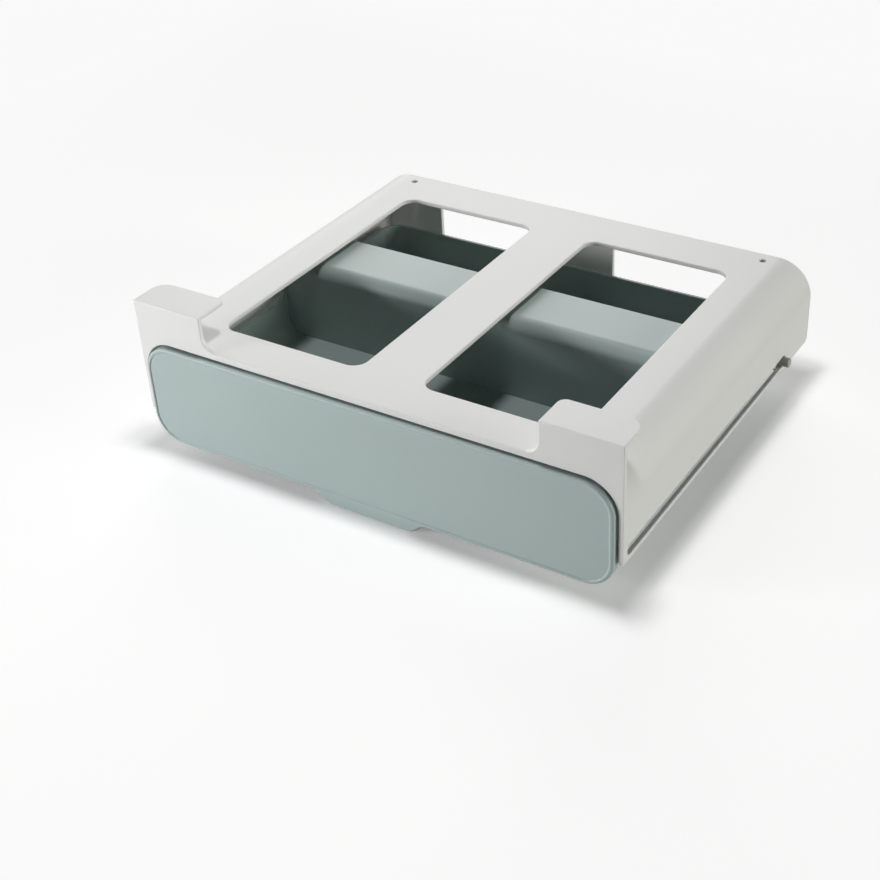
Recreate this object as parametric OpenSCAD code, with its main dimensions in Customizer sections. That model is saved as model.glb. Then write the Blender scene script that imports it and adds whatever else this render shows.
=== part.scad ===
// Under-shelf spice drawer. A moulded housing hooks over the front edge of a shelf and is
// screwed up into it at the back. A tray with a front panel runs in the housing on two pegs,
// and drops down on those pegs once it is pulled out.
// The origin is the middle of the outline, on the plane that the finger pull stands on.
// +X is to the right, +Y is to the rear, and +Z is up. All lengths are in millimetres.

/* [Housing] */
// Width over the two side walls
housing_w = 320; // [290:1:380]
// Depth from the front face to the rear face
housing_d = 259.2; // [245:0.1:320]
// Thickness of the moulded walls
wall_t = 3; // [2.6:0.1:3.4]
// Outer radius of the shoulder between the plate and a side wall
shoulder_r = 23; // [20:1:26]
// How far the front edge hangs below the plate's underside
front_lip = 0.9; // [0:0.1:1.5]
// Radius of the side walls' lower front corners
foot_front_r = 2; // [1:0.5:4]
// Radius of the side walls' lower rear corners
foot_rear_r = 4; // [2:0.5:6]

/* [Windows in the plate] */
// Width of the bar between the two windows
window_bar_w = 40.5; // [30:0.5:60]
// Width of the plate outside each window
window_side_w = 41; // [30:0.5:55]
// Depth of the plate in front of the windows
window_front_d = 27.2; // [27:0.1:40]
// Depth of the plate behind the windows
window_rear_d = 33; // [20:0.5:45]
// Corner radius of the windows
window_r = 9; // [4:0.5:14]

/* [Rear wall] */
// Width of the pillar between the two rear openings
rear_pillar_w = 45; // [30:1:80]
// Width of the rear wall outside each opening
rear_corner_w = 47; // [30:1:60]
// Height of the rear wall above its openings, plate included
rear_head_h = 8; // [5:0.5:12]
// Height of the rail below the openings
rear_rail_h = 7.5; // [5:0.5:12]
// Corner radius of the rear openings
rear_r = 6; // [2:0.5:10]

/* [Shelf hooks] */
// Width of each hook
hook_w = 49; // [30:1:60]
// Height of the hook's top above the plate
hook_rise = 21.5; // [15:0.5:30]
// Depth of the hook from the front face
hook_reach = 25; // [18:0.5:40]
// Thickness of the hook's flange
hook_t = 2.5; // [2:0.1:4]
// Radius of the hook's outer rear corner
hook_outer_r = 10; // [4:0.5:12]
// Radius of the hook's inner rear corner
hook_inner_r = 5; // [2:0.5:8]
// Radius that blends the hook's foot into the front edge
hook_blend_r = 9; // [4:0.5:14]

/* [Screw holes] */
// Diameter of the two screw holes
hole_d = 4; // [3:0.1:5]
// Distance from each side face to its screw hole
hole_edge = 30; // [29:1:60]
// Distance from the rear face to the screw holes
hole_inset = 9; // [7:0.5:14]

/* [Front panel] */
// Height of the panel without its finger pull
panel_h = 66.4; // [62:0.1:72]
// Thickness of the panel over its return edge
panel_t = 7; // [6:0.1:9]
// How far the panel stands in front of the housing
panel_proud = 2.8; // [2:0.1:4.5]
// Clearance between the panel and the opening
panel_gap = 1.2; // [0.5:0.1:1.5]
// Thickness of the panel's skin and of its return edge
panel_skin_t = 2.2; // [1.8:0.1:2.6]
// Radius of the panel's rounded front edge
panel_edge_r = 1.6; // [1:0.1:2.2]
// Width of the raised border round the panel's face
border_w = 2; // [1.6:0.1:6]
// Depth of the face inside the border
border_d = 0.6; // [0.3:0.1:0.8]

/* [Finger pull] */
// Reach of the finger pull below the panel
pull_drop = 7; // [6:0.5:14]
// Width of the finger pull where it leaves the panel
pull_top_w = 74; // [66:1:110]
// Width of the finger pull at its lower edge
pull_low_w = 58; // [30:1:64]
// Radius of the finger pull's curved sides
pull_r = 3; // [2:0.5:5]
// Thickness of the finger pull
pull_t = 3; // [2:0.1:3.5]

/* [Tray] */
// Thickness of the tray's walls and floor
tray_t = 2.5; // [2:0.1:3]
// Gap between the tray and each side wall
tray_side_gap = 6; // [5:0.5:10]
// Gap between the tray and the rear wall
tray_rear_gap = 8.5; // [6:0.5:14]
// Height of the tray's underside above the panel's lower edge
tray_lift = 9; // [6:0.5:10]
// How far the tray reaches below the side walls
tray_below = 8.5; // [6:0.5:12]
// Height of the tray's walls from its underside to the rim
tray_h = 28; // [26:0.5:34]
// Inner radius between the floor and the side walls
tray_floor_r = 12; // [6:0.5:12.5]
// Outer radius of the tray's rear corners
tray_corner_r = 14; // [8:0.5:20]
// Outer radius between the tray's floor and its rear wall
tray_heel_r = 8; // [4:0.5:14]

/* [Step] */
// Distance from the housing's front face to the riser
step_from_front = 122.5; // [100:0.5:130]
// Depth of the step from its riser to its rear edge
step_d = 43; // [30:1:60]
// Gap between the step and the underside of the plate
step_gap = 3; // [2:0.5:6]
// Radius of the step's front edge
step_edge_r = 8; // [4:0.5:10]
// Radius of the step's two ends
step_end_r = 17; // [14:0.5:18]
// Depth of the wall beside the step, past its riser and its rear edge
cheek_d = 2.5; // [1:0.5:5]
// Radius that lifts the rim to the step
cheek_r = 8; // [4:0.5:10]

/* [Slide pegs] */
// Diameter of the pegs
peg_d = 6; // [5:0.1:6.4]
// Clearance of a peg in its slot
slot_clear = 0.5; // [0.2:0.05:0.7]
// Height of the side wall left below the slot
slot_edge_h = 3; // [2.5:0.1:4]
// Distance from the front face to the front end of the slots
slot_from_front = 5.2; // [5:0.1:20]
// Distance from the rear face to the pegs with the drawer closed
peg_from_rear = 41.5; // [38:0.5:60]
// How far the pegs stand out of the side walls
peg_reach = 4.5; // [3:0.5:8]
// Radial running clearance of the pegs in their bores
bore_clear = 0.05; // [0.02:0.01:0.08]
// Diameter of the bosses on the tray
boss_d = 14; // [12:0.5:16]
// How far a boss stands out of the tray's side
boss_out = 3; // [2:0.1:4]
// How far a boss stands into the tray
boss_in = 2; // [1.5:0.1:3]
// Diameter of the glide rings
ring_d = 13; // [10:0.5:14]
// Running gap of the glide rings and the caps
ring_gap = 0.3; // [0.2:0.05:0.5]
// Diameter of the caps on the pegs' inner ends
cap_d = 12; // [10:0.5:14]
// Thickness of the caps
cap_t = 3.5; // [3:0.1:5]
// Depth of the peg's seat in its cap
cap_seat = 2; // [1:0.1:2.5]
// Length of the bevel on the pegs' outer ends
peg_bevel = 0.6; // [0.3:0.1:1]

/* [Panel screws] */
// Diameter of the screws' shanks
screw_d = 3; // [2.5:0.1:3.5]
// Diameter of the screws' heads
screw_head_d = 6; // [5:0.1:7]
// Height of the screws' heads
screw_head_h = 1.8; // [1.4:0.1:2.4]
// Clearance in front of the screws' tips
tip_gap = 0.5; // [0.3:0.1:1]
// Clearance of the shanks in the tray's wall
screw_clear = 0.2; // [0.1:0.05:0.4]
// Distance between the inner pair of screws
screw_inner_spacing = 90; // [60:1:130]
// Distance from the tray's side to the outer screws
screw_edge = 26; // [12:1:50]
// Height of the screws above the tray's underside
screw_h = 17; // [16:0.5:19]
// Diameter of the screw bosses on the panel
screw_boss_d = 9; // [7:0.5:11]
// Diameter of the drive recess in the screws' heads
drive_d = 2.4; // [2:0.1:3]
// Depth of the drive recess
drive_depth = 1; // [0.6:0.1:1.2]

/* [Hidden] */
$fn = 96;
// Overrun of every cut past the face that it opens
cut = 1;
// Thickness of the slices that a rounded edge is drawn over
slice = 0.02;
// Clearance of the screws in the panel's bosses
thread_clear = 0.05;

// Heights
panel_low_z = pull_drop;
panel_top_z = panel_low_z + panel_h;
opening_z = panel_top_z + panel_gap;
plate_low_z = opening_z + front_lip;
plate_z = plate_low_z + wall_t;
hook_z = plate_z + hook_rise;
tray_low_z = panel_low_z + tray_lift;
wall_low_z = tray_low_z + tray_below;
floor_z = tray_low_z + tray_t;
rim_z = tray_low_z + tray_h;
step_z = plate_low_z - step_gap;
slot_h = peg_d + 2 * slot_clear;
peg_z = wall_low_z + slot_edge_h + slot_h / 2;
screw_z = tray_low_z + screw_h;

// Depths
front_y = (panel_proud - housing_d) / 2;
rear_y = front_y + housing_d;
panel_front_y = front_y - panel_proud;
face_y = panel_front_y + border_d;
panel_back_y = panel_front_y + panel_t;
pocket_y = face_y + panel_skin_t;
bin_front_y = panel_back_y + tray_t;
riser_y = front_y + step_from_front;
step_rear_y = riser_y + step_d;
tray_rear_y = rear_y - wall_t - tray_rear_gap;
peg_y = rear_y - peg_from_rear;
slot_front_y = front_y + slot_from_front + slot_h / 2;

// Widths, measured from the middle
side_x = housing_w / 2;
bay_x = side_x - wall_t;
panel_x = bay_x - panel_gap;
tray_x = bay_x - tray_side_gap;
bin_x = tray_x - tray_t;
boss_in_x = bin_x - boss_in;
boss_out_x = tray_x + boss_out;
ring_in_x = boss_out_x + ring_gap;
ring_out_x = bay_x - ring_gap;
cap_out_x = boss_in_x - ring_gap;
peg_in_x = cap_out_x - cap_seat;
peg_out_x = side_x + peg_reach;

// Radii that follow their walls
bay_r = shoulder_r - wall_t;
panel_r = bay_r - panel_gap;
tray_low_r = tray_floor_r + tray_t;

// Share of the rounded edge's radius at which each slice lies: inset, then depth
edge_shares = [[1, 0], [0.5, 0.13], [0.13, 0.5], [0, 1]];

// A flat outline drawn in X and Z, made solid from one depth to another
module along_y(y0, y1) {
    translate([0, y1, 0])
        rotate([90, 0, 0])
            linear_extrude(y1 - y0)
                children();
}

// A flat outline drawn in Y and Z, made solid from one side to the other
module along_x(x0, x1) {
    translate([x0, 0, 0])
        rotate([90, 0, 90])
            linear_extrude(x1 - x0)
                children();
}

// A flat outline drawn in X and Y, made solid from one height to another
module along_z(z0, z1) {
    translate([0, 0, z0])
        linear_extrude(z1 - z0)
            children();
}

// A cylinder along X between two places
module bar_x(x0, x1, d) {
    translate([x0, 0, 0])
        rotate([0, 90, 0])
            cylinder(d = d, h = x1 - x0);
}

// A flat rectangle from its lowest to its highest corner
module box_2d(u0, u1, v0, v1) {
    translate([u0, v0])
        square([u1 - u0, v1 - v0]);
}

// A flat rectangle with one radius on its lower corners and one on its upper corners
module round_2d(u0, u1, v0, v1, low_r, high_r) {
    box_2d(u0, u1, v0 + low_r, v1 - high_r);
    box_2d(u0 + low_r, u1 - low_r, v0, v1 - high_r);
    box_2d(u0 + high_r, u1 - high_r, v0 + low_r, v1);
    for (u = [u0 + low_r, u1 - low_r]) {
        translate([u, v0 + low_r])
            circle(r = low_r);
    }
    for (u = [u0 + high_r, u1 - high_r]) {
        translate([u, v1 - high_r])
            circle(r = high_r);
    }
}

// A flat shape closed by a flat lower edge and two rounded upper corners
module arch_2d(x, v0, v1, r) {
    box_2d(-x, x, v0, v1 - r);
    box_2d(r - x, x - r, v0, v1);
    for (u = [r - x, x - r]) {
        translate([u, v1 - r])
            circle(r = r);
    }
}

// The hollow between a vertical edge and a level one, drawn at the corner where they meet
module blend_2d(r) {
    difference() {
        box_2d(0, r, 0, r);
        translate([r, r])
            circle(r = r);
    }
}

// The same thing on the right and mirrored to the left
module both_sides() {
    children();
    mirror([1, 0, 0])
        children();
}

// Housing

// Outline of the side walls from the side, with their lower corners rounded
module wall_side_2d() {
    y0 = front_y + foot_front_r;
    y1 = rear_y - foot_rear_r;
    z0 = wall_low_z + foot_front_r;
    z1 = wall_low_z + foot_rear_r;
    box_2d(y0, y1, wall_low_z, plate_z);
    box_2d(front_y, y1, z0, plate_z);
    box_2d(y0, rear_y, z1, plate_z);
    translate([y0, z0])
        circle(r = foot_front_r);
    translate([y1, z1])
        circle(r = foot_rear_r);
}

// Outline of one hook's front, with the blend at its foot
module hook_front_2d() {
    box_2d(side_x - hook_w, side_x, plate_z - wall_t, hook_z);
    translate([side_x - hook_w, plate_z])
        mirror([1, 0])
            blend_2d(hook_blend_r);
}

// Outline of one hook from above
module hook_plan_2d() {
    inner_x = side_x - hook_w;
    hook_rear_y = front_y + hook_reach;
    box_2d(inner_x, side_x, front_y, hook_rear_y - hook_outer_r);
    box_2d(inner_x, side_x - hook_outer_r, front_y, hook_rear_y - hook_inner_r);
    box_2d(inner_x + hook_inner_r, side_x - hook_outer_r, front_y, hook_rear_y);
    translate([side_x - hook_outer_r, hook_rear_y - hook_outer_r])
        circle(r = hook_outer_r);
    translate([inner_x + hook_inner_r, hook_rear_y - hook_inner_r])
        circle(r = hook_inner_r);
}

// The long slot that a peg runs in, drawn from the side
module slot_2d() {
    box_2d(slot_front_y, peg_y, peg_z - slot_h / 2, peg_z + slot_h / 2);
    for (y = [slot_front_y, peg_y]) {
        translate([y, peg_z])
            circle(d = slot_h);
    }
}

module window_2d() {
    round_2d(window_bar_w / 2, side_x - window_side_w,
             front_y + window_front_d, rear_y - window_rear_d, window_r, window_r);
}

module rear_opening_2d() {
    round_2d(rear_pillar_w / 2, side_x - rear_corner_w,
             wall_low_z + rear_rail_h, plate_z - rear_head_h, rear_r, rear_r);
}

module housing() {
    color([0.87, 0.87, 0.86])
    difference() {
        union() {
            intersection() {
                union() {
                    along_y(front_y, rear_y)
                        arch_2d(side_x, wall_low_z, plate_z, shoulder_r);
                    along_y(front_y, front_y + wall_t)
                        box_2d(-side_x, side_x, wall_low_z, plate_z);
                }
                along_x(-side_x, side_x)
                    wall_side_2d();
            }
            both_sides() {
                along_y(front_y, front_y + wall_t)
                    hook_front_2d();
                along_z(hook_z - hook_t, hook_z)
                    hook_plan_2d();
            }
        }
        along_y(front_y - cut, front_y + wall_t + cut)
            arch_2d(bay_x, wall_low_z - cut, opening_z, bay_r);
        along_y(front_y + wall_t, rear_y - wall_t)
            arch_2d(bay_x, wall_low_z - cut, plate_low_z, bay_r);
        both_sides() {
            along_z(plate_low_z - cut, plate_z + cut)
                window_2d();
            along_y(rear_y - wall_t - cut, rear_y + cut)
                rear_opening_2d();
            along_x(bay_x - cut, side_x + cut)
                slot_2d();
            translate([side_x - hole_edge, rear_y - hole_inset, plate_low_z - cut])
                cylinder(d = hole_d, h = wall_t + 2 * cut);
        }
    }
}

// Tray

// Outline of the tray seen along its length, with the ends of the step on top
module tray_section_2d(inset) {
    round_2d(inset - tray_x, tray_x - inset, tray_low_z + inset, step_z - inset,
             tray_low_r - inset, step_end_r - inset);
}

// Outline of a bin seen along its length, open at the top
module bin_section_2d() {
    box_2d(-bin_x, bin_x, floor_z + tray_floor_r, plate_z);
    box_2d(tray_floor_r - bin_x, bin_x - tray_floor_r, floor_z, plate_z);
    for (x = [tray_floor_r - bin_x, bin_x - tray_floor_r]) {
        translate([x, floor_z + tray_floor_r])
            circle(r = tray_floor_r);
    }
}

// Outline of the tray from above, with rounded rear corners
module tray_plan_2d(inset) {
    r = tray_corner_r - inset;
    x = tray_x - inset;
    y0 = panel_back_y + inset;
    y1 = tray_rear_y - inset;
    box_2d(-x, x, y0, y1 - r);
    box_2d(r - x, x - r, y0, y1);
    for (u = [r - x, x - r]) {
        translate([u, y1 - r])
            circle(r = r);
    }
}

// Flat shape from the side, closed by the floor and a rounded lower rear corner
module heel_2d(y0, y1, z0, z1, r) {
    box_2d(y0, y1 - r, z0, z1);
    box_2d(y0, y1, z0 + r, z1);
    translate([y1 - r, z0 + r])
        circle(r = r);
}

// Outline of the tray from the side: the rim, and the walls that rise beside the step
module tray_side_2d() {
    heel_2d(panel_back_y, tray_rear_y, tray_low_z, rim_z, tray_heel_r);
    box_2d(riser_y - cheek_d, step_rear_y + cheek_d, tray_low_z, step_z);
    translate([riser_y - cheek_d, rim_z])
        mirror([1, 0])
            blend_2d(cheek_r);
    translate([step_rear_y + cheek_d, rim_z])
        blend_2d(cheek_r);
}

// The front bin from the side, up to the riser and over the step's rounded front edge
module front_bin_side_2d() {
    box_2d(bin_front_y, riser_y, floor_z, plate_z);
    difference() {
        box_2d(riser_y - cut, riser_y + step_edge_r, step_z - step_edge_r, plate_z);
        translate([riser_y + step_edge_r, step_z - step_edge_r])
            circle(r = step_edge_r);
    }
}

// The hollow under the step from the side
module step_hollow_2d() {
    r = step_edge_r - tray_t;
    y0 = riser_y + tray_t;
    y1 = step_rear_y - tray_t;
    z1 = step_z - tray_t;
    box_2d(y0, y1, tray_low_z - cut, z1 - r);
    box_2d(y0 + r, y1, tray_low_z - cut, z1);
    translate([y0 + r, z1 - r])
        circle(r = r);
}

// A boss on the right wall that carries a peg
module peg_boss() {
    translate([0, peg_y, peg_z])
        bar_x(boss_in_x, boss_out_x, boss_d);
}

module screw_places() {
    for (x = [screw_inner_spacing / 2, tray_x - screw_edge]) {
        for (side = [-1, 1]) {
            translate([side * x, 0, screw_z])
                rotate([-90, 0, 0])
                    children();
        }
    }
}

module drawer_tray() {
    color([0.66, 0.72, 0.70])
    difference() {
        union() {
            difference() {
                intersection() {
                    along_y(panel_back_y, tray_rear_y)
                        tray_section_2d(0);
                    along_z(tray_low_z, plate_z)
                        tray_plan_2d(0);
                    along_x(-tray_x, tray_x)
                        tray_side_2d();
                }
                intersection() {
                    along_y(bin_front_y, step_rear_y)
                        bin_section_2d();
                    along_x(-bin_x, bin_x)
                        front_bin_side_2d();
                }
                intersection() {
                    along_y(step_rear_y, tray_rear_y - tray_t)
                        bin_section_2d();
                    along_z(floor_z, plate_z)
                        tray_plan_2d(tray_t);
                    along_x(-bin_x, bin_x)
                        heel_2d(step_rear_y, tray_rear_y - tray_t, floor_z, plate_z, tray_heel_r - tray_t);
                }
                intersection() {
                    along_y(riser_y, step_rear_y)
                        tray_section_2d(tray_t);
                    along_x(-bin_x, bin_x)
                        step_hollow_2d();
                }
                along_x(tray_floor_r - bin_x, bin_x - tray_floor_r)
                    box_2d(riser_y + tray_t, step_rear_y - tray_t, tray_low_z - cut, floor_z + cut);
            }
            both_sides()
                peg_boss();
        }
        both_sides() {
            translate([0, peg_y, peg_z])
                bar_x(boss_in_x - cut, boss_out_x + cut, peg_d + 2 * bore_clear);
        }
        translate([0, panel_back_y - cut, 0])
            screw_places()
                cylinder(d = screw_d + 2 * screw_clear, h = tray_t + 2 * cut);
    }
}

// Front panel

// Outline of the panel, drawn in by an inset
module panel_2d(inset) {
    round_2d(inset - panel_x, panel_x - inset, panel_low_z + inset, panel_top_z - inset,
             panel_r - inset, panel_r - inset);
}

// Points of an arc round a centre, from one angle to another
function arc(centre, r, a0, a1, steps = 8) =
    [for (i = [0 : steps]) let (a = a0 + (a1 - a0) * i / steps) centre + r * [cos(a), sin(a)]];

// Slope of the finger pull's sides, and how far a blend of its radius reaches along an edge
pull_lean = atan2((pull_top_w - pull_low_w) / 2, pull_drop);
pull_reach = pull_r * tan((90 - pull_lean) / 2);

// Right half of the finger pull: a hollow blend at the panel and a round corner below
function pull_side() = concat(
    arc([pull_low_w / 2 - pull_reach, pull_r], pull_r, -90, -pull_lean),
    arc([pull_top_w / 2 + pull_reach, panel_low_z - pull_r], pull_r, 180 - pull_lean, 90));

module pull_2d() {
    right = pull_side();
    left = [for (i = [len(right) - 1 : -1 : 0]) [-right[i][0], right[i][1]]];
    polygon(concat([[pull_top_w / 2 + pull_reach, panel_low_z + panel_edge_r]],
                   [[-pull_top_w / 2 - pull_reach, panel_low_z + panel_edge_r]], left, right));
}

// The panel's solid body with its rounded front edge
module panel_block() {
    hull() {
        for (share = edge_shares) {
            y = panel_front_y + panel_edge_r * share[1];
            along_y(y, y + slice)
                panel_2d(panel_edge_r * share[0], $fn = 32);
        }
        along_y(panel_back_y - slice, panel_back_y)
            panel_2d(0, $fn = 32);
    }
}

module front_panel() {
    color([0.68, 0.73, 0.71])
    difference() {
        union() {
            difference() {
                panel_block();
                along_y(panel_front_y - cut, face_y)
                    panel_2d(border_w);
                along_y(pocket_y, panel_back_y + cut)
                    panel_2d(panel_skin_t);
            }
            along_y(panel_front_y, panel_front_y + pull_t)
                pull_2d();
            translate([0, pocket_y - slice, 0])
                screw_places()
                    cylinder(d = screw_boss_d, h = panel_back_y - pocket_y + slice);
        }
        translate([0, pocket_y, 0])
            screw_places()
                cylinder(d = screw_d + 2 * thread_clear, h = panel_back_y - pocket_y + cut);
    }
}

module panel_screws() {
    color([0.72, 0.73, 0.74])
    screw_places() {
        difference() {
            union() {
                translate([0, 0, pocket_y + tip_gap])
                    cylinder(d = screw_d, h = bin_front_y - pocket_y - tip_gap);
                translate([0, 0, bin_front_y])
                    cylinder(d = screw_head_d, h = screw_head_h);
            }
            translate([0, 0, bin_front_y + screw_head_h - drive_depth])
                cylinder(d = drive_d, h = drive_depth + cut, $fn = 6);
        }
    }
}

// Pegs, rings and caps, drawn on the right side

module slide_peg() {
    translate([0, peg_y, peg_z]) {
        bar_x(peg_in_x, peg_out_x - peg_bevel, peg_d);
        translate([peg_out_x - peg_bevel, 0, 0])
            rotate([0, 90, 0])
                cylinder(d1 = peg_d, d2 = peg_d - 2 * peg_bevel, h = peg_bevel);
    }
}

module glide_ring() {
    translate([0, peg_y, peg_z]) {
        difference() {
            bar_x(ring_in_x, ring_out_x, ring_d);
            bar_x(ring_in_x - cut, ring_out_x + cut, peg_d + 2 * bore_clear);
        }
    }
}

module peg_cap() {
    translate([0, peg_y, peg_z]) {
        difference() {
            bar_x(cap_out_x - cap_t, cap_out_x, cap_d);
            bar_x(peg_in_x, cap_out_x + cut, peg_d + 2 * bore_clear);
        }
    }
}

module slide_peg_left() {
    color([0.60, 0.62, 0.58])
    mirror([1, 0, 0])
        slide_peg();
}

module slide_peg_right() {
    color([0.60, 0.62, 0.58])
    slide_peg();
}

module glide_ring_left() {
    color([0.90, 0.90, 0.88])
    mirror([1, 0, 0])
        glide_ring();
}

module glide_ring_right() {
    color([0.90, 0.90, 0.88])
    glide_ring();
}

module peg_cap_left() {
    color([0.60, 0.66, 0.64])
    mirror([1, 0, 0])
        peg_cap();
}

module peg_cap_right() {
    color([0.60, 0.66, 0.64])
    peg_cap();
}

housing();
drawer_tray();
front_panel();
panel_screws();
slide_peg_left();
slide_peg_right();
glide_ring_left();
glide_ring_right();
peg_cap_left();
peg_cap_right();
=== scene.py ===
# %% [markdown]
# # An under-shelf spice drawer
#
# The real object is two big mouldings. A light grey housing hooks over the front edge of a
# shelf board, and a sage green drawer runs inside it on two pegs. The CAD model already has
# every piece at its true size and place, but its edges are sharp and its surfaces are plain.
#
# This lesson remodels each piece over its CAD node with Blender's own tools, softens the
# edges as a mould does, gives each plastic its own finish, and lights the whole in a small
# white studio. Every length is written in millimetres and turned into metres by MM.

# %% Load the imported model
from math import cos, pi, radians, sin

import bmesh
import bpy
from mathutils import Matrix, Vector


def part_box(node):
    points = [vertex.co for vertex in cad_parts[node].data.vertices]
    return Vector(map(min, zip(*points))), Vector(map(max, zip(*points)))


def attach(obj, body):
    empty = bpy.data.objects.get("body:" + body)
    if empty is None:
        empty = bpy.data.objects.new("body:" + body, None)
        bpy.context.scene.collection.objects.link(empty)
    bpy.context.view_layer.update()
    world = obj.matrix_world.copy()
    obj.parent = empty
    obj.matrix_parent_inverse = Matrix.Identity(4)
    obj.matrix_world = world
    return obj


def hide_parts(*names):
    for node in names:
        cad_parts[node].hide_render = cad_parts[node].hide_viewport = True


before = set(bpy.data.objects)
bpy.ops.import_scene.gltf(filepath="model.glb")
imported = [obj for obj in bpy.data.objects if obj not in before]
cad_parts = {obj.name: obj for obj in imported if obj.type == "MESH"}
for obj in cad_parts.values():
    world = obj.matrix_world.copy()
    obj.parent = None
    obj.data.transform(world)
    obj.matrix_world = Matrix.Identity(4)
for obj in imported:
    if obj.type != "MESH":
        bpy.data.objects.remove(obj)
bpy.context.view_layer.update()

MM = 0.001
for name in sorted(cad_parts):
    low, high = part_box(name)
    print(name, [round((b - a) / MM, 1) for a, b in zip(low, high)], "mm")

# %% [markdown]
# ## Tools of the bench
#
# Everything starts as a block or a rod. It could also be drawn vertex by vertex, but a block
# with its edges rounded is how such a moulding is drawn by hand, and it is easy to follow.
# An operator acts on whatever is selected, so each helper first selects one piece alone, and
# then the edges or faces that lie where the step needs them.

# %% Select one piece, or some parts of it
def only(piece):
    bpy.ops.object.select_all(action="DESELECT")
    piece.select_set(True)
    bpy.context.view_layer.objects.active = piece


def pick(piece, kind, test):
    """Opens a piece in edit mode with the faces, edges or corners that pass a test selected."""
    only(piece)
    bpy.ops.object.mode_set(mode="EDIT")
    bpy.ops.mesh.select_mode(type=kind)
    bpy.ops.mesh.select_all(action="DESELECT")
    mesh = bmesh.from_edit_mesh(piece.data)
    parts = {"VERT": mesh.verts, "EDGE": mesh.edges, "FACE": mesh.faces}[kind]
    chosen = [part for part in parts if test(part)]
    for part in chosen:
        part.select_set(True)
    bmesh.update_edit_mesh(piece.data)
    return len(chosen)


def put_down():
    bpy.ops.object.mode_set(mode="OBJECT")


def middle(part):
    """Middle of an edge or face, in millimetres."""
    return sum((corner.co for corner in part.verts), Vector()) / len(part.verts) / MM


def runs(edge, axis):
    """True where an edge runs along X (0), Y (1) or Z (2)."""
    step = edge.verts[1].co - edge.verts[0].co
    return abs(step[axis]) > 0.999 * step.length


def near(a, b):
    """True for two lengths in millimetres that are the same but for rounding."""
    return abs(a - b) < 0.02


# %% Make blocks and rods, and round their edges
def block(name, low, high):
    bpy.ops.object.select_all(action="DESELECT")
    bpy.ops.mesh.primitive_cube_add(size=1, location=[(a + b) / 2 * MM for a, b in zip(low, high)])
    piece = bpy.context.object
    piece.name = piece.data.name = name
    piece.scale = [(b - a) * MM for a, b in zip(low, high)]
    bpy.ops.object.transform_apply()
    return piece


def rod(name, axis, start, end, across, radius, sides=48):
    """A cylinder along an axis, from start to end, with its middle at across on the other two."""
    centre = list(across)
    centre.insert(axis, (start + end) / 2)
    turn = [(0, pi / 2, 0), (pi / 2, 0, 0), (0, 0, 0)][axis]
    bpy.ops.object.select_all(action="DESELECT")
    bpy.ops.mesh.primitive_cylinder_add(
        vertices=sides, radius=radius * MM, depth=(end - start) * MM,
        location=[c * MM for c in centre], rotation=turn)
    piece = bpy.context.object
    piece.name = piece.data.name = name
    bpy.ops.object.transform_apply()
    return piece


def round_edges(piece, radius, test, steps=8):
    """Rounds the edges that pass a test, with a number of steps in each rounding."""
    count = pick(piece, "EDGE", test)
    bpy.ops.mesh.bevel(offset_type="OFFSET", offset=radius * MM, segments=steps,
                       affect="EDGES", clamp_overlap=False)
    put_down()
    print(f"{piece.name}: {count} edges rounded to {radius} mm")


def cut_across(piece, axis, place):
    """Adds a row of edges where a plane crosses the piece."""
    pick(piece, "FACE", lambda face: True)
    normal = [0, 0, 0]
    normal[axis] = 1
    bpy.ops.mesh.bisect(plane_co=[n * place * MM for n in normal], plane_no=normal)
    put_down()


def pull_out(piece, shift, test):
    """Extrudes the faces that pass a test."""
    count = pick(piece, "FACE", test)
    bpy.ops.mesh.extrude_region_move(TRANSFORM_OT_translate={"value": [s * MM for s in shift]})
    put_down()
    print(f"{piece.name}: {count} faces pulled out by {shift} mm")


# %% Join and cut pieces
PAST = 10       # how far a cutting block reaches past the piece that it cuts


def rounded_block(name, low, high, axis, radius, steps=8):
    """A block whose four edges along one axis are rounded."""
    piece = block(name, low, high)
    round_edges(piece, radius, lambda edge: runs(edge, axis), steps)
    return piece


def combine(piece, tool, how):
    """How is UNION, DIFFERENCE or INTERSECT. The tool is used up."""
    only(piece)
    step = piece.modifiers.new(how.title(), "BOOLEAN")
    step.operation = how
    step.solver = "EXACT"
    step.object = tool
    bpy.ops.object.modifier_apply(modifier=step.name)
    bpy.data.objects.remove(tool, do_unlink=True)


def merge_flat(piece):
    """Merges doubled corners, and removes the edges that lie inside flat faces."""
    pick(piece, "VERT", lambda corner: True)
    bpy.ops.mesh.remove_doubles(threshold=0.005 * MM)
    bpy.ops.mesh.select_all(action="SELECT")
    bpy.ops.mesh.dissolve_limited(angle_limit=radians(0.2))
    put_down()


# %% Soften what is left sharp
def smooth(piece):
    """Shades the roundings smoothly and keeps the flat faces flat."""
    only(piece)
    bpy.ops.object.shade_smooth_by_angle(angle=radians(35))
    step = piece.modifiers.new("Even shading", "WEIGHTED_NORMAL")
    step.keep_sharp = True
    bpy.ops.object.modifier_apply(modifier=step.name)
    print(f"{piece.name}: {len(piece.data.polygons)} faces")


def weigh_edges(piece, weight_of):
    """Writes a bevel weight on each edge, which a Bevel modifier reads."""
    mesh = bmesh.new()
    mesh.from_mesh(piece.data)
    weight = mesh.edges.layers.float.new("bevel_weight_edge")
    for edge in mesh.edges:
        edge[weight] = weight_of(edge)
    mesh.to_mesh(piece.data)
    mesh.free()


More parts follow.
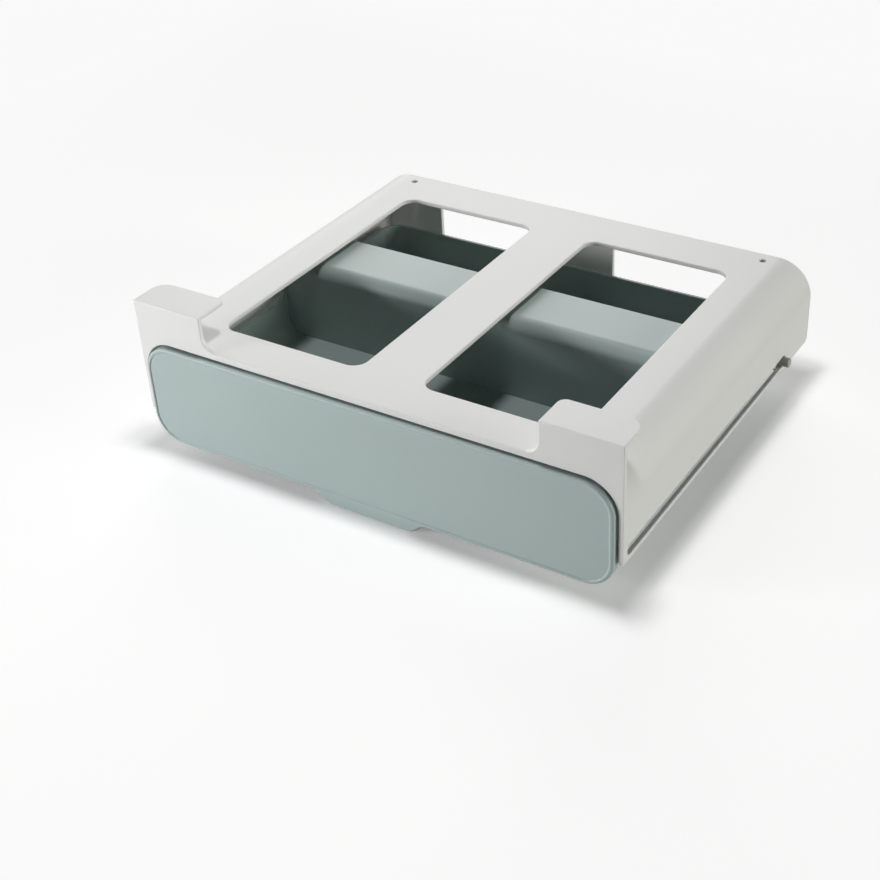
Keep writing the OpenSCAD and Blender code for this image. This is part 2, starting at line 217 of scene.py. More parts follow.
def soften(piece, radius, steps=3, sharp=40, cuts=(), leave=lambda edge: False):
    """Rounds every outer edge that is still sharper than an angle, then shades smoothly.

    The long strips of a rounding are first cut near their ends, so that an edge softened at
    one end bends only the short part of the strip beside it. Edges that the leave test names
    are left as they are.
    """
    merge_flat(piece)
    for axis, place in cuts:
        cut_across(piece, axis, place)
    weigh_edges(piece, lambda edge: float(
        edge.is_convex and edge.calc_face_angle(0) > radians(sharp) and not leave(edge)))
    only(piece)
    step = piece.modifiers.new("Soft edges", "BEVEL")
    step.width = radius * MM
    step.segments = steps
    step.limit_method = "WEIGHT"
    step.use_clamp_overlap = False
    step.miter_outer = "MITER_ARC"
    bpy.ops.object.modifier_apply(modifier=step.name)
    piece.data.attributes.remove(piece.data.attributes["bevel_weight_edge"])
    smooth(piece)


# %% [markdown]
# ## Housing
#
# The housing is one light grey moulding of 3 mm wall: a flat plate with two windows, two
# rounded shoulders, two side walls with a long slot each, a rear wall with two openings, and
# an upright front edge that rises into the two shelf hooks. It could be one sheet with a
# Solidify modifier, but the hooks, the front edge and the rear wall would each need a sheet of
# their own. A solid block with the inside cut out of it keeps all the walls true.

# %% The front edge and its two hooks
SIDE = 160      # from the middle to the outside of a side wall
FRONT, REAR = -128.2, 131
FOOT, PLATE = 24.5, 78.5
WALL = 3
HOOK_INNER = 111        # from the middle to the inner side of a hook
HOOK_TOP = 100
HOOK_THICK = 2.5
HOOK_TIP = FRONT + 25
HOOK_FILLET = 9
OUTER_TIP_ROUND, INNER_TIP_ROUND = 10, 5
FRONT_LIP_ROUND, REAR_LIP_ROUND = 2, 4

housing = block("housing_shell", (-SIDE, FRONT, FOOT), (SIDE, FRONT + WALL, PLATE))
for place in (-HOOK_INNER, HOOK_INNER):
    cut_across(housing, 0, place)
pull_out(housing, (0, 0, HOOK_TOP - PLATE),
         lambda face: face.normal.z > 0.9 and abs(middle(face).x) > HOOK_INNER)
round_edges(housing, HOOK_FILLET, lambda edge: runs(edge, 1) and near(middle(edge).z, PLATE)
            and near(abs(middle(edge).x), HOOK_INNER), 10)
cut_across(housing, 2, HOOK_TOP - HOOK_THICK)
pull_out(housing, (0, HOOK_TIP - FRONT - WALL, 0),
         lambda face: face.normal.y > 0.9 and middle(face).z > HOOK_TOP - HOOK_THICK)
for radius, across, steps in ((OUTER_TIP_ROUND, SIDE, 10), (INNER_TIP_ROUND, HOOK_INNER, 8)):
    round_edges(housing, radius, lambda edge: runs(edge, 2) and near(middle(edge).y, HOOK_TIP)
                and near(abs(middle(edge).x), across), steps)
round_edges(housing, FRONT_LIP_ROUND, lambda edge: runs(edge, 0) and near(middle(edge).z, FOOT)
            and near(middle(edge).y, FRONT), 5)
merge_flat(housing)

# %% The shoulders and the hollow inside
SHOULDER_ROUND = 23
OPENING = 74.6      # the front edge hangs 0.9 mm lower than the plate's underside

shoulders = block("shoulders", (-SIDE, FRONT + FRONT_LIP_ROUND, FOOT), (SIDE, REAR, PLATE))
round_edges(shoulders, SHOULDER_ROUND,
            lambda edge: runs(edge, 1) and near(middle(edge).z, PLATE), 16)
round_edges(shoulders, REAR_LIP_ROUND, lambda edge: runs(edge, 0) and near(middle(edge).z, FOOT)
            and near(middle(edge).y, REAR), 6)
combine(housing, shoulders, "UNION")

for name, start, end, top in (("bay", FRONT + WALL, REAR - WALL, PLATE - WALL),
                              ("front_opening", FRONT - PAST, FRONT + WALL + 1, OPENING)):
    hollow = block(name, (-SIDE + WALL, start, FOOT - PAST), (SIDE - WALL, end, top))
    round_edges(hollow, SHOULDER_ROUND - WALL,
                lambda edge: runs(edge, 1) and near(middle(edge).z, top), 16)
    combine(housing, hollow, "DIFFERENCE")


# %% Windows, rear openings and slots
def mirrored(side, inner, outer):
    """Two X places on the left or right side, the lower one first."""
    return sorted((side * inner, side * outer))


# Each row: axis, inner and outer X, the lowest and highest place on Y and on Z, and the radius.
HOLES = {
    "window": (2, (20.25, 119), (-101, 98), (PLATE - PAST, PLATE + PAST), 9),
    "rear_opening": (1, (22.5, 113), (REAR - PAST, REAR + PAST), (32, 70.5), 6),
    "peg_slot": (0, (SIDE - PAST, SIDE + PAST), (-123, 93), (27.5, 34.5), 3.49),
}
for side in (-1, 1):
    for name, (axis, (inner, outer), (y0, y1), (z0, z1), radius) in HOLES.items():
        x0, x1 = mirrored(side, inner, outer)
        hole = rounded_block(name, (x0, y0, z0), (x1, y1, z1), axis, radius,
                             10 if name == "window" else 8)
        combine(housing, hole, "DIFFERENCE")

# %% Screw holes, and the soft edges
SHELF_SCREW = (130, 122)        # X and Y
for side in (-1, 1):
    hole = rod("screw_hole", 2, PLATE - PAST, PLATE + PAST,
               (side * SHELF_SCREW[0], SHELF_SCREW[1]), 2, 32)
    combine(housing, hole, "DIFFERENCE")

soften(housing, 0.6, cuts=((1, -85), (1, 85)), leave=lambda edge: (
    near(middle(edge).y, FRONT + WALL) and middle(edge).z < PLATE - WALL
    or near(middle(edge).y, REAR - WALL) and middle(edge).z < FOOT + 1))

# %% [markdown]
# ## Tray
#
# The tray is one sage green moulding of 2.5 mm wall. Its floor runs into the side walls with
# a big radius, and a hollow step stands across the middle and makes two bins, so that jars can
# lie in front of it and behind it. Each bin is cut out of a solid as the core of a mould would
# shape it. Edges of several radii meet at the rear corners, so they are rounded by one Bevel
# modifier that reads a weight on each edge.

# %% Round many edges at once, each by its own radius
def round_by_weight(piece, largest, radii, steps=10):
    """radii is a list of (radius, test): each test names the edges that get that radius."""
    weigh_edges(piece, lambda edge: max(
        [radius / largest for radius, test in radii if test(edge)], default=0.0))
    only(piece)
    step = piece.modifiers.new("Mould radii", "BEVEL")
    step.width = largest * MM
    step.segments = steps
    step.limit_method = "WEIGHT"
    step.use_clamp_overlap = False
    bpy.ops.object.modifier_apply(modifier=step.name)
    piece.data.attributes.remove(piece.data.attributes["bevel_weight_edge"])


# %% The tray's outside, with the step standing across it
TRAY_SIDE, TRAY_FRONT, TRAY_REAR = 151, -124, 119.5
TRAY_FOOT, RIM, STEP_TOP = 16, 44, 72.5
TRAY_WALL = 2.5
FLOOR = TRAY_FOOT + TRAY_WALL
RISER, STEP_REAR = -5.7, 37.3
CHEEK = 2.5         # the outer walls stand up this far before and behind the step
STEP_ROUND, CHEEK_ROUND, FLOOR_ROUND = 17, 8, 14.5
CORNER_ROUND, REAR_FOOT_ROUND, RISER_ROUND = 14, 8, 8

tray = block("tray_moulding", (-TRAY_SIDE, TRAY_FRONT, TRAY_FOOT), (TRAY_SIDE, TRAY_REAR, RIM))
for place in (RISER - CHEEK, STEP_REAR + CHEEK):
    cut_across(tray, 1, place)
pull_out(tray, (0, 0, STEP_TOP - RIM),
         lambda face: face.normal.z > 0.9 and RISER - CHEEK < middle(face).y < STEP_REAR + CHEEK)
merge_flat(tray)
round_by_weight(tray, STEP_ROUND, [
    (STEP_ROUND, lambda edge: runs(edge, 1) and near(middle(edge).z, STEP_TOP)),
    (CHEEK_ROUND, lambda edge: runs(edge, 0) and near(middle(edge).z, RIM)
     and (near(middle(edge).y, RISER - CHEEK) or near(middle(edge).y, STEP_REAR + CHEEK))),
    (FLOOR_ROUND, lambda edge: runs(edge, 1) and near(middle(edge).z, TRAY_FOOT)),
    (CORNER_ROUND, lambda edge: runs(edge, 2) and near(middle(edge).y, TRAY_REAR)),
    (REAR_FOOT_ROUND, lambda edge: runs(edge, 0) and near(middle(edge).z, TRAY_FOOT)
     and near(middle(edge).y, TRAY_REAR)),
], 12)

# %% The two bins, cut by their cores
BIN = TRAY_SIDE - TRAY_WALL
BIN_REAR = TRAY_REAR - TRAY_WALL
BIN_ROUND = FLOOR_ROUND - TRAY_WALL
HIGHER = 15         # how far a core stands above the step

front_core = block("front_core", (-BIN, TRAY_FRONT + TRAY_WALL, FLOOR), (BIN, RISER, STEP_TOP))
pull_out(front_core, (0, 0, HIGHER), lambda face: face.normal.z > 0.9)
pull_out(front_core, (0, 12, 0), lambda face: face.normal.y > 0.9 and middle(face).z > STEP_TOP)
merge_flat(front_core)
round_by_weight(front_core, BIN_ROUND, [
    (BIN_ROUND, lambda edge: runs(edge, 1) and near(middle(edge).z, FLOOR)),
    (RISER_ROUND, lambda edge: runs(edge, 0) and near(middle(edge).z, STEP_TOP)
     and near(middle(edge).y, RISER)),
], 12)
combine(tray, front_core, "DIFFERENCE")

rear_core = block("rear_core", (-BIN, STEP_REAR, FLOOR), (BIN, BIN_REAR, STEP_TOP + HIGHER))
round_by_weight(rear_core, BIN_ROUND, [
    (BIN_ROUND, lambda edge: runs(edge, 1) and near(middle(edge).z, FLOOR)),
    (CORNER_ROUND - TRAY_WALL, lambda edge: runs(edge, 2) and near(middle(edge).y, BIN_REAR)),
    (REAR_FOOT_ROUND - TRAY_WALL, lambda edge: runs(edge, 0) and near(middle(edge).z, FLOOR)
     and near(middle(edge).y, BIN_REAR)),
], 12)
combine(tray, rear_core, "DIFFERENCE")

# %% The hollow under the step
HOLLOW_Y = RISER + TRAY_WALL, STEP_REAR - TRAY_WALL

step_core = block("step_core", (-BIN, HOLLOW_Y[0], FLOOR),
                  (BIN, HOLLOW_Y[1], STEP_TOP - TRAY_WALL))
round_by_weight(step_core, STEP_ROUND - TRAY_WALL, [
    (STEP_ROUND - TRAY_WALL, lambda edge: runs(edge, 1) and middle(edge).z > RIM),
    (BIN_ROUND, lambda edge: runs(edge, 1) and middle(edge).z < RIM),
    (RISER_ROUND - TRAY_WALL, lambda edge: runs(edge, 0) and middle(edge).z > RIM
     and middle(edge).y < 0),
], 12)
combine(tray, step_core, "DIFFERENCE")
mouth = block("step_mouth", (-BIN + BIN_ROUND, HOLLOW_Y[0], FLOOR - PAST),
              (BIN - BIN_ROUND, HOLLOW_Y[1], FLOOR + 1))
combine(tray, mouth, "DIFFERENCE")

# %% Bosses and holes for the pegs and the panel screws
PEG = (89.5, 31)            # Y and Z of the pegs
PEG_BORE = 3.05             # radius
BOSS_INNER, BOSS_OUTER = 146.5, 154
SCREWS = (-125, -45, 45, 125)
SCREW_Z = 33
SCREW_BORE = 1.7            # radius

for side in (-1, 1):
    x0, x1 = mirrored(side, BOSS_INNER, BOSS_OUTER)
    combine(tray, rod("peg_boss", 0, x0, x1, PEG, 7, 64), "UNION")
    combine(tray, rod("peg_bore", 0, x0 - 2, x1 + 2, PEG, PEG_BORE, 32), "DIFFERENCE")
for x in SCREWS:
    bore = rod("screw_bore", 1, TRAY_FRONT - 2, TRAY_FRONT + 5, (x, SCREW_Z), SCREW_BORE, 24)
    combine(tray, bore, "DIFFERENCE")
soften(tray, 0.5, cuts=((0, -140), (0, 140), (1, -110), (1, 90)))

# %% [markdown]
# ## Front panel
#
# The panel is a second sage green moulding, wider and taller than the tray. A raised border
# runs round its face, its front edge is fully rounded, and at its lower edge the border flows
# down into a finger pull. The outline with the pull is drawn first and rounded as a whole, so
# that the rounding runs on from the panel into the pull without a break.

# %% The panel's outline with its finger pull
PANEL_SIDE, PANEL_FRONT, PANEL_BACK = 155.8, -131, -124
PANEL_FOOT, PANEL_TOP = 7, 73.4
PULL_TOP, PULL_LOW = 37, 29       # half widths of the pull at the panel and at its edge
PANEL_ROUND, PULL_ROUND, FACE_ROUND = 18.8, 3, 1.6

panel = rounded_block("panel_moulding", (-PANEL_SIDE, PANEL_FRONT, PANEL_FOOT),
                      (PANEL_SIDE, PANEL_BACK, PANEL_TOP), 1, PANEL_ROUND, 14)
for place in (-PULL_TOP, PULL_TOP):
    cut_across(panel, 0, place)
pull_out(panel, (0, 0, -PANEL_FOOT),
         lambda face: face.normal.z < -0.9 and abs(middle(face).x) < PULL_TOP)
pick(panel, "VERT", lambda corner: near(corner.co.z / MM, 0))
bpy.ops.transform.resize(value=(PULL_LOW / PULL_TOP, 1, 1))
put_down()
merge_flat(panel)
round_edges(panel, PULL_ROUND, lambda edge: runs(edge, 1) and (
    near(middle(edge).z, 0)
    or near(abs(middle(edge).x), PULL_TOP) and near(middle(edge).z, PANEL_FOOT)))
round_edges(panel, FACE_ROUND,
            lambda edge: all(near(end.co.y / MM, PANEL_FRONT) for end in edge.verts), 5)

# %% The sunk face inside the border
SUNK = 0.6                  # depth of the face below the border
BORDER, OPEN_BORDER = 2.8, 1.2      # width of the border at the face, and where its core is widest
HALF_TALL = (PANEL_TOP - PANEL_FOOT) / 2

face_core = rounded_block(
    "face_core", (-PANEL_SIDE + BORDER, PANEL_FRONT - 1, PANEL_FOOT + BORDER),
    (PANEL_SIDE - BORDER, PANEL_FRONT + SUNK, PANEL_TOP - BORDER), 1, PANEL_ROUND - BORDER, 14)
pick(face_core, "FACE", lambda face: face.normal.y < -0.9)
bpy.ops.transform.resize(value=((PANEL_SIDE - OPEN_BORDER) / (PANEL_SIDE - BORDER), 1,
                                (HALF_TALL - OPEN_BORDER) / (HALF_TALL - BORDER)))
put_down()
combine(panel, face_core, "DIFFERENCE")
merge_flat(panel)
round_edges(panel, 0.25, lambda edge: middle(edge).y < PANEL_FRONT + 1
            and radians(38) < edge.calc_face_angle(0) < radians(50), 3)

# %% The pocket in its back, the thin pull and the screw bosses
RIM_WIDE = 2.2
POCKET = -128.2             # Y of the pocket's face
PULL_BACK = PANEL_FRONT + 3
pocket = rounded_block("pocket", (-PANEL_SIDE + RIM_WIDE, POCKET, PANEL_FOOT + RIM_WIDE),
                       (PANEL_SIDE - RIM_WIDE, PANEL_BACK + 4, PANEL_TOP - RIM_WIDE), 1,
                       PANEL_ROUND - RIM_WIDE, 14)
combine(panel, pocket, "DIFFERENCE")
behind_pull = block("behind_pull", (-60, PULL_BACK, -PAST), (60, PANEL_BACK + 4, PANEL_FOOT))
combine(panel, behind_pull, "DIFFERENCE")
for x in SCREWS:
    boss = rod("screw_boss", 1, POCKET - 0.1, PANEL_BACK, (x, SCREW_Z), 4.5)
    combine(panel, boss, "UNION")
    core = rod("screw_core", 1, POCKET, PANEL_BACK + 4, (x, SCREW_Z), 1.55, 24)
    combine(panel, core, "DIFFERENCE")
soften(panel, 0.5, leave=lambda edge: near(middle(edge).y, PULL_BACK)
       and PANEL_FOOT - 2 < middle(edge).z < PANEL_FOOT + 0.5)

# %% [markdown]
# ## Small pieces
#
# Four pan-head screws hold the panel to the tray. Each has a cross recess, so one is modelled
# and copied. The two pegs stand out of the side walls through the slots. A white ring on each
# keeps the tray in the middle, and a cap holds each peg's inner end in the rear bin.

# %% One screw, copied to four places
def copied(piece, name, shift):
    twin = piece.copy()
    twin.data = piece.data.copy()
    twin.name = twin.data.name = name
    bpy.context.scene.collection.objects.link(twin)
    twin.data.transform(Matrix.Translation(Vector(shift) * MM))
    return twin


HEAD_SEAT = TRAY_FRONT + TRAY_WALL
HEAD_TOP = HEAD_SEAT + 1.8
SHANK_TIP = -127.7
CROSS_FLOOR = -121
CROSS_LONG, CROSS_THIN = 1.5, 0.25      # half sizes of the cross's arms

screw = rod("panel_screw_set", 1, HEAD_SEAT, HEAD_TOP, (0, SCREW_Z), 3, 40)
round_edges(screw, 1.2,
            lambda edge: all(near(end.co.y / MM, HEAD_TOP) for end in edge.verts), 5)
shank = rod("shank", 1, SHANK_TIP, HEAD_SEAT + 0.3, (0, SCREW_Z), 1.5, 24)
round_edges(shank, 0.6,
            lambda edge: all(near(end.co.y / MM, SHANK_TIP) for end in edge.verts), 2)
combine(screw, shank, "UNION")
for wide, tall in ((CROSS_LONG, CROSS_THIN), (CROSS_THIN, CROSS_LONG)):
    bit = block("bit", (-wide, CROSS_FLOOR, SCREW_Z - tall), (wide, HEAD_TOP + 0.7, SCREW_Z + tall))
    combine(screw, bit, "DIFFERENCE")
soften(screw, 0.08, 1)
rest = [copied(screw, "screw_copy", (x, 0, 0)) for x in SCREWS[1:]]
screw.data.transform(Matrix.Translation((SCREWS[0] * MM, 0, 0)))
only(screw)
for twin in rest:
    twin.select_set(True)
bpy.ops.object.join()

# %% Pegs, rings and caps
PEG_INNER, PEG_OUTER, PEG_RADIUS = 144.2, 164.5, 3
RING_INNER, RING_OUTER, RING_RADIUS = 154.3, 156.7, 6.5
CAP_INNER, CAP_OUTER, CAP_RADIUS = 142.7, 146.2, 6


def hollow_rod(name, x0, x1, radius, bore_x0, bore_x1):
    """A rod round the peg's axis with the peg's bore in it."""
    piece = rod(name, 0, x0, x1, PEG, radius, 64)
    combine(piece, rod("bore", 0, bore_x0, bore_x1, PEG, PEG_BORE, 48), "DIFFERENCE")
    return piece


small = {}
for side, word in ((-1, "left"), (1, "right")):
    x0, x1 = mirrored(side, PEG_INNER, PEG_OUTER)
    peg = rod(f"peg_{word}_turned", 0, x0, x1, PEG, PEG_RADIUS, 48)
    round_edges(peg, 0.9, lambda edge: all(
        near(abs(end.co.x) / MM, PEG_OUTER) for end in edge.verts), 4)
    smooth(peg)
    x0, x1 = mirrored(side, RING_INNER, RING_OUTER)
    ring = hollow_rod(f"ring_{word}_turned", x0, x1, RING_RADIUS, x0 - 1, x1 + 1)
    soften(ring, 0.4)
    x0, x1 = mirrored(side, CAP_INNER, CAP_OUTER)
    cap = hollow_rod(f"cap_{word}_turned", x0, x1, CAP_RADIUS,
                     *mirrored(side, PEG_INNER, CAP_OUTER + 0.8))
    soften(cap, 0.8, 4)
    small[word] = peg, ring, cap

# %% [markdown]
# ## Finishes
#
# All the mouldings have the fine satin skin of a spark-eroded mould. Its grain is about half a
# millimetre, too fine to see from where the camera stands, but it spreads the highlights. The
# tone drifts by a percent or so over the piece, as moulded plastic does. Both are made by noise
# on Object coordinates, so that the grain keeps its true size on every piece.

# %% A satin plastic
def satin_plastic(name, colour, drift, roughness, sheen=0.5, grain=0.5, relief=0.02):
    """drift is the share by which the tone varies, and sheen the strength of the gloss.

    grain is the size of the skin's grain and relief its height, both in millimetres.
    """
    material = bpy.data.materials.new(name)
    material.use_nodes = True
    nodes, links = material.node_tree.nodes, material.node_tree.links
    shader = nodes["Principled BSDF"]
    shader.inputs["IOR"].default_value = 1.46
    shader.inputs["Specular IOR Level"].default_value = sheen
    place = nodes.new("ShaderNodeTexCoord")
    place.location = (-1100, 0)

    cloud = nodes.new("ShaderNodeTexNoise")
    cloud.location = (-850, 250)
    cloud.inputs["Scale"].default_value = 14
    cloud.inputs["Detail"].default_value = 4
    tone = nodes.new("ShaderNodeValToRGB")
    tone.location = (-600, 250)
    stops = zip(tone.color_ramp.elements, (0.3, 0.7), (1 - drift, 1 + drift))
    for stop, position, share in stops:
        stop.position = position
        stop.color = [channel * share for channel in colour] + [1]

    skin = nodes.new("ShaderNodeTexNoise")
    skin.location = (-850, -150)
    skin.inputs["Scale"].default_value = 1 / (grain * MM)
    skin.inputs["Detail"].default_value = 2
    gloss = nodes.new("ShaderNodeMapRange")
    gloss.location = (-600, -50)
    gloss.inputs["To Min"].default_value = roughness - 0.06
    gloss.inputs["To Max"].default_value = roughness + 0.06
    bump = nodes.new("ShaderNodeBump")
    bump.location = (-600, -350)
    bump.inputs["Strength"].default_value = 0.5
    bump.inputs["Distance"].default_value = relief * MM

    links.new(place.outputs["Object"], cloud.inputs["Vector"])
    links.new(place.outputs["Object"], skin.inputs["Vector"])
    links.new(cloud.outputs["Fac"], tone.inputs["Fac"])
    links.new(tone.outputs["Color"], shader.inputs["Base Color"])
    links.new(skin.outputs["Fac"], gloss.inputs["Value"])
    links.new(gloss.outputs["Result"], shader.inputs["Roughness"])
    links.new(skin.outputs["Fac"], bump.inputs["Height"])
    links.new(bump.outputs["Normal"], shader.inputs["Normal"])
    print(f"{name}: tone {colour}, roughness about {roughness}")
    return material


light_grey = satin_plastic("light_grey_moulding", (0.708, 0.708, 0.700), 0.012, 0.46)
sage_tray = satin_plastic("sage_tray_moulding", (0.325, 0.395, 0.382), 0.015, 0.44)
sage_panel = satin_plastic("sage_panel_moulding", (0.394, 0.472, 0.462), 0.012, 0.42, 0.25)
peg_grey = satin_plastic("peg_plastic", (0.320, 0.340, 0.310), 0.03, 0.38, grain=0.3)
ring_white = satin_plastic("ring_plastic", (0.760, 0.760, 0.730), 0.02, 0.30, grain=0.3)

# %% [markdown]
# The screws are zinc-plated steel. Here and there the plating is a little duller.

# %% Zinc-plated steel
steel = bpy.data.materials.new("zinc_plated_steel")
steel.use_nodes = True
nodes, links = steel.node_tree.nodes, steel.node_tree.links
shader = nodes["Principled BSDF"]
shader.inputs["Metallic"].default_value = 1
place = nodes.new("ShaderNodeTexCoord")
patches = nodes.new("ShaderNodeTexNoise")
patches.inputs["Scale"].default_value = 900
tone = nodes.new("ShaderNodeValToRGB")
tone.color_ramp.elements[0].color = (0.45, 0.45, 0.46, 1)
tone.color_ramp.elements[1].color = (0.68, 0.69, 0.70, 1)
dull = nodes.new("ShaderNodeMapRange")
dull.inputs["To Min"].default_value = 0.25
dull.inputs["To Max"].default_value = 0.45
links.new(place.outputs["Object"], patches.inputs["Vector"])
links.new(patches.outputs["Fac"], tone.inputs["Fac"])
links.new(tone.outputs["Color"], shader.inputs["Base Color"])
links.new(patches.outputs["Fac"], dull.inputs["Value"])
links.new(dull.outputs["Result"], shader.inputs["Roughness"])


# %% Give each piece its finish, its body and its CAD node
def fit(piece, material, body, node):
    piece.data.materials.clear()
    piece.data.materials.append(material)
    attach(piece, body)
    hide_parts(node)
    print(f"{piece.name} stands for {node} on {body}")


fit(housing, light_grey, "housing", "housing")
fit(tray, sage_tray, "drawer", "drawer_tray")
fit(panel, sage_panel, "drawer", "front_panel")
fit(screw, steel, "drawer", "panel_screws")
for word, (peg, ring, cap) in small.items():
    fit(peg, peg_grey, "carriage", f"slide_peg_{word}")
    fit(ring, ring_white, "carriage", f"glide_ring_{word}")
    fit(cap, peg_grey, "carriage", f"peg_cap_{word}")

# %% [markdown]
# ## Studio
#
# The object stands on a plain white sweep. A small soft lamp hangs close above it and throws
# the crisp shadows below the hooks and the middle bar. Three wide soft lamps stand low around
# it, so that they light the outside and leave the bins dark: behind to the left, to the right,
# and far to the front left, which makes the panel brighter at its left end. The background is
# white by the paper's glow, and no lamp is turned up for it; a weaker glow beside the object
# paints a shadow band round it.

# %% The floor and its paper
BACKGROUND = 0.947      # how bright the camera sees the paper far from the object

bpy.ops.object.select_all(action="DESELECT")
bpy.ops.mesh.primitive_plane_add(size=14, location=(0, 0, -0.3 * MM))
floor = bpy.context.object
floor.name = "studio_floor"
paper = bpy.data.materials.new("white_paper")
paper.use_nodes = True
nodes, links = paper.node_tree.nodes, paper.node_tree.links
shader = nodes["Principled BSDF"]
shader.inputs["Roughness"].default_value = 0.9
shader.inputs["Specular IOR Level"].default_value = 0
shader.inputs["Emission Color"].default_value = (1, 1, 1, 1)
place = nodes.new("ShaderNodeTexCoord")
fibre = nodes.new("ShaderNodeTexNoise")
fibre.inputs["Scale"].default_value = 60
tone = nodes.new("ShaderNodeValToRGB")
tone.color_ramp.elements[0].color = (0.885, 0.885, 0.885, 1)
tone.color_ramp.elements[1].color = (0.895, 0.895, 0.895, 1)
thinner = nodes.new("ShaderNodeMix")
thinner.data_type = "RGBA"
thinner.inputs["B"].default_value = (0, 0, 0, 1)
links.new(place.outputs["Object"], fibre.inputs["Vector"])
links.new(fibre.outputs["Fac"], tone.inputs["Fac"])
links.new(tone.outputs["Color"], thinner.inputs["A"])
links.new(thinner.outputs["Result"], shader.inputs["Base Color"])
floor.data.materials.append(paper)
print("floor:", [round(side, 1) for side in floor.dimensions], "m")

# %% [markdown]
# Far from the object the sweep fades into plain white, while the shadow beside the object
# stays. More light would also bleach the object. So the paper glows for the camera alone: a
# little beside the object, and fully at half a metre, where it gives up its own tone. The weak
# glow beside the outline is painted shadow: it darkens a band of paper round the object on top
# of the shadow that the lamps cast. Nodes measure how far each point of the paper lies outside
# the object's outline.

# %% How far a point of the paper lies outside the outline, from 0 to 1
FADE = 0.5              # metres over which the paper fades
size_of = nodes.new("ShaderNodeVectorMath")
size_of.operation = "ABSOLUTE"
past = nodes.new("ShaderNodeVectorMath")
past.operation = "SUBTRACT"
past.inputs[1].default_value = (SIDE * MM, REAR * MM, 0)
split = nodes.new("ShaderNodeSeparateXYZ")
outside = nodes.new("ShaderNodeMath")
outside.operation = "MAXIMUM"
reach = nodes.new("ShaderNodeMapRange")
reach.inputs["From Max"].default_value = FADE
links.new(place.outputs["Object"], size_of.inputs[0])
links.new(size_of.outputs["Vector"], past.inputs[0])
links.new(past.outputs["Vector"], split.inputs["Vector"])
links.new(split.outputs["X"], outside.inputs[0])
links.new(split.outputs["Y"], outside.inputs[1])
links.new(outside.outputs["Value"], reach.inputs["Value"])

# %% The glow for the camera, with painted shadow beside the outline, and the share of its own tone given up for it
# Painted shadow: the glow is weakest at the outline and rises outwards, so the paper is darker in a
# band round the object.
PAINTED_SHADOW_GLOW = ((0.02, 0.42, 0.03), (0.05, 0.68, 0.50), (0.2, 0.76, 0.65))  # place, glow and share

painted_shadow_ramp = nodes.new("ShaderNodeValToRGB")
painted_shadow_ramp.color_ramp.elements[0].color = (0.22, 0, 0, 1)
painted_shadow_ramp.color_ramp.elements[1].color = (BACKGROUND, 1, 0, 1)
for position, glow, share in PAINTED_SHADOW_GLOW:
    painted_shadow_ramp.color_ramp.elements.new(position).color = (glow, share, 0, 1)
path = nodes.new("ShaderNodeLightPath")
only_seen = nodes.new("ShaderNodeVectorMath")
only_seen.operation = "SCALE"
parts = nodes.new("ShaderNodeSeparateXYZ")
links.new(reach.outputs["Result"], painted_shadow_ramp.inputs["Fac"])
links.new(painted_shadow_ramp.outputs["Color"], only_seen.inputs["Vector"])
links.new(path.outputs["Is Camera Ray"], only_seen.inputs["Scale"])
links.new(only_seen.outputs["Vector"], parts.inputs["Vector"])
links.new(parts.outputs["X"], shader.inputs["Emission Strength"])
links.new(parts.outputs["Y"], thinner.inputs["Factor"])
print("paper:", len(nodes), "nodes, and", len(painted_shadow_ramp.color_ramp.elements), "stops from glow to white")

# %% [markdown]
# The room itself gives no light. Past the edge of the floor the camera sees the same white as
# on the paper, and so do reflections, which is what Light Path picks out.

# %% The white room
world = bpy.data.worlds.new("white_room")
bpy.context.scene.world = world
world.use_nodes = True
nodes, links = world.node_tree.nodes, world.node_tree.links
nodes.clear()
room = nodes.new("ShaderNodeBackground")
room.inputs["Color"].default_value = (1, 1, 1, 1)
room.inputs["Strength"].default_value = 0
seen = nodes.new("ShaderNodeBackground")
seen.inputs["Color"].default_value = (BACKGROUND, BACKGROUND, BACKGROUND, 1)
seen.inputs["Strength"].default_value = 1
path = nodes.new("ShaderNodeLightPath")
either = nodes.new("ShaderNodeMath")
either.operation = "MAXIMUM"
any_of = nodes.new("ShaderNodeMath")
any_of.operation = "MAXIMUM"
mix = nodes.new("ShaderNodeMixShader")
out = nodes.new("ShaderNodeOutputWorld")
links.new(path.outputs["Is Camera Ray"], either.inputs[0])
links.new(path.outputs["Is Glossy Ray"], either.inputs[1])
links.new(either.outputs["Value"], any_of.inputs[0])
links.new(path.outputs["Is Transmission Ray"], any_of.inputs[1])
links.new(any_of.outputs["Value"], mix.inputs["Fac"])
links.new(room.outputs["Background"], mix.inputs[1])
links.new(seen.outputs["Background"], mix.inputs[2])
links.new(mix.outputs["Shader"], out.inputs["Surface"])
print("room:", world.name, "seen at", BACKGROUND)


# %% The lamps
def turned_to(place, target):
    return (Vector(place) - Vector(target)).to_track_quat("Z", "Y").to_euler()


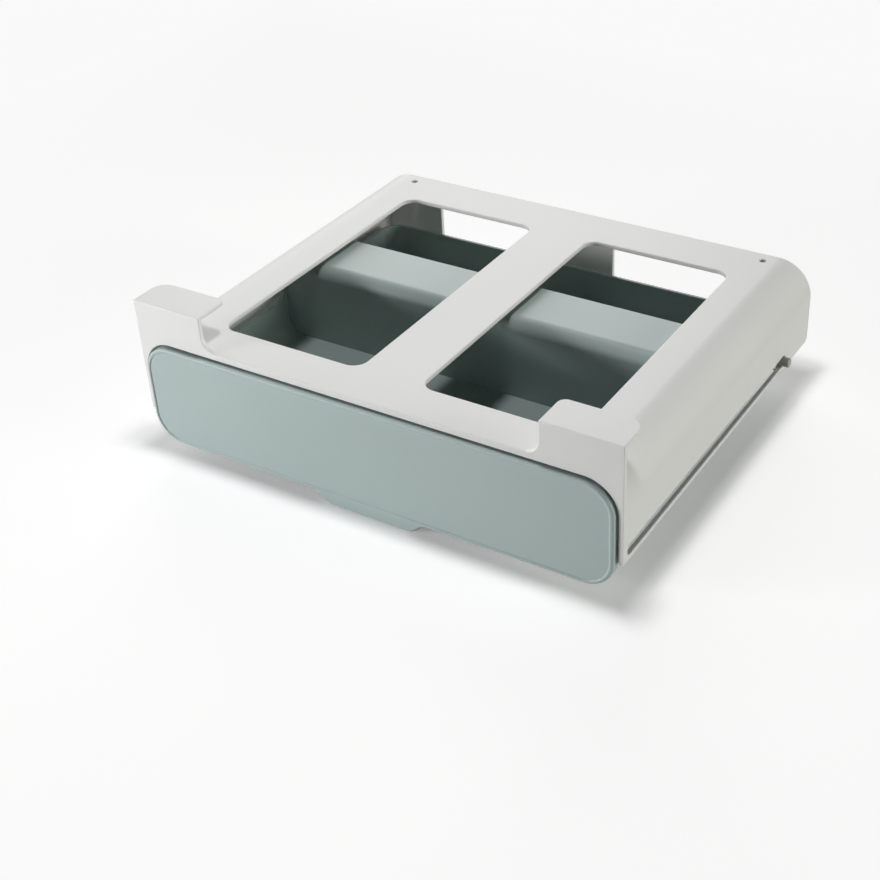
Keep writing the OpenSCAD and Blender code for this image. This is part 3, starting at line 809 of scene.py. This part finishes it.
def near_lamp(name, place, target, size, light):
    """A round lamp. At its target, a light of 1 shows a facing white surface as white."""
    bpy.ops.object.light_add(type="AREA", location=place, rotation=turned_to(place, target))
    lamp = bpy.context.object
    lamp.name = name
    lamp.data.shape = "DISK"
    lamp.data.size = size
    lamp.data.energy = pi ** 2 * (Vector(place) - Vector(target)).length_squared * light
    print(f"{name}: {lamp.data.energy:.1f} W")


def far_lamp(name, heading, height, spread, light):
    """A lamp far away, at a heading from the front and a height above the floor, in degrees."""
    turn, rise = radians(heading), radians(height)
    place = (sin(turn) * cos(rise), -cos(turn) * cos(rise), sin(rise))
    bpy.ops.object.light_add(type="SUN", location=place, rotation=turned_to(place, (0, 0, 0)))
    lamp = bpy.context.object
    lamp.name = name
    lamp.data.angle = radians(spread)
    lamp.data.energy = pi * light
    print(f"{name}: {lamp.data.energy:.2f} W/m2")


near_lamp("lamp_above", (0.02, -0.05, 0.80), (0, 0, 0.08), 0.13, 0.41)
near_lamp("lamp_front_left", (-1.15, -1.12, 0.20), (-0.05, -0.13, 0.05), 0.50, 1.07)
far_lamp("lamp_behind_left", -145, 24, 36, 0.39)
far_lamp("lamp_right", 100, 9, 24, 0.62)
bpy.data.objects["lamp_right"].data.color = (1, 0.995, 0.93)

# %% [markdown]
# ## Camera
#
# The photograph was taken with a lens of about 60 mm, from the front right and above, and the
# camera leant over by 2 degrees. Its place was worked out from the housing's straight edges.

# %% Camera
heading, drop, lean = radians(-31.9), radians(32.85), radians(-2.18)
forward = Vector((sin(heading) * cos(drop), cos(heading) * cos(drop), -sin(drop)))
level = Vector((cos(heading), -sin(heading), 0))
upright = level.cross(forward)
right = level * cos(lean) + upright * sin(lean)
up = upright * cos(lean) - level * sin(lean)
bpy.ops.object.camera_add(location=(0.42955, -0.67497, 0.52172))
camera = bpy.context.object
camera.name = "photo_camera"
turn = Matrix((right, up, -forward)).transposed().to_4x4()
camera.matrix_world = Matrix.Translation(camera.location) @ turn
camera.data.lens = 61.85
camera.data.shift_x = -0.0682
camera.data.shift_y = -0.0455
bpy.context.scene.camera = camera
bpy.context.scene.view_settings.view_transform = "Standard"
print("camera:", [round(c, 3) for c in camera.location], "m, lens", camera.data.lens, "mm")
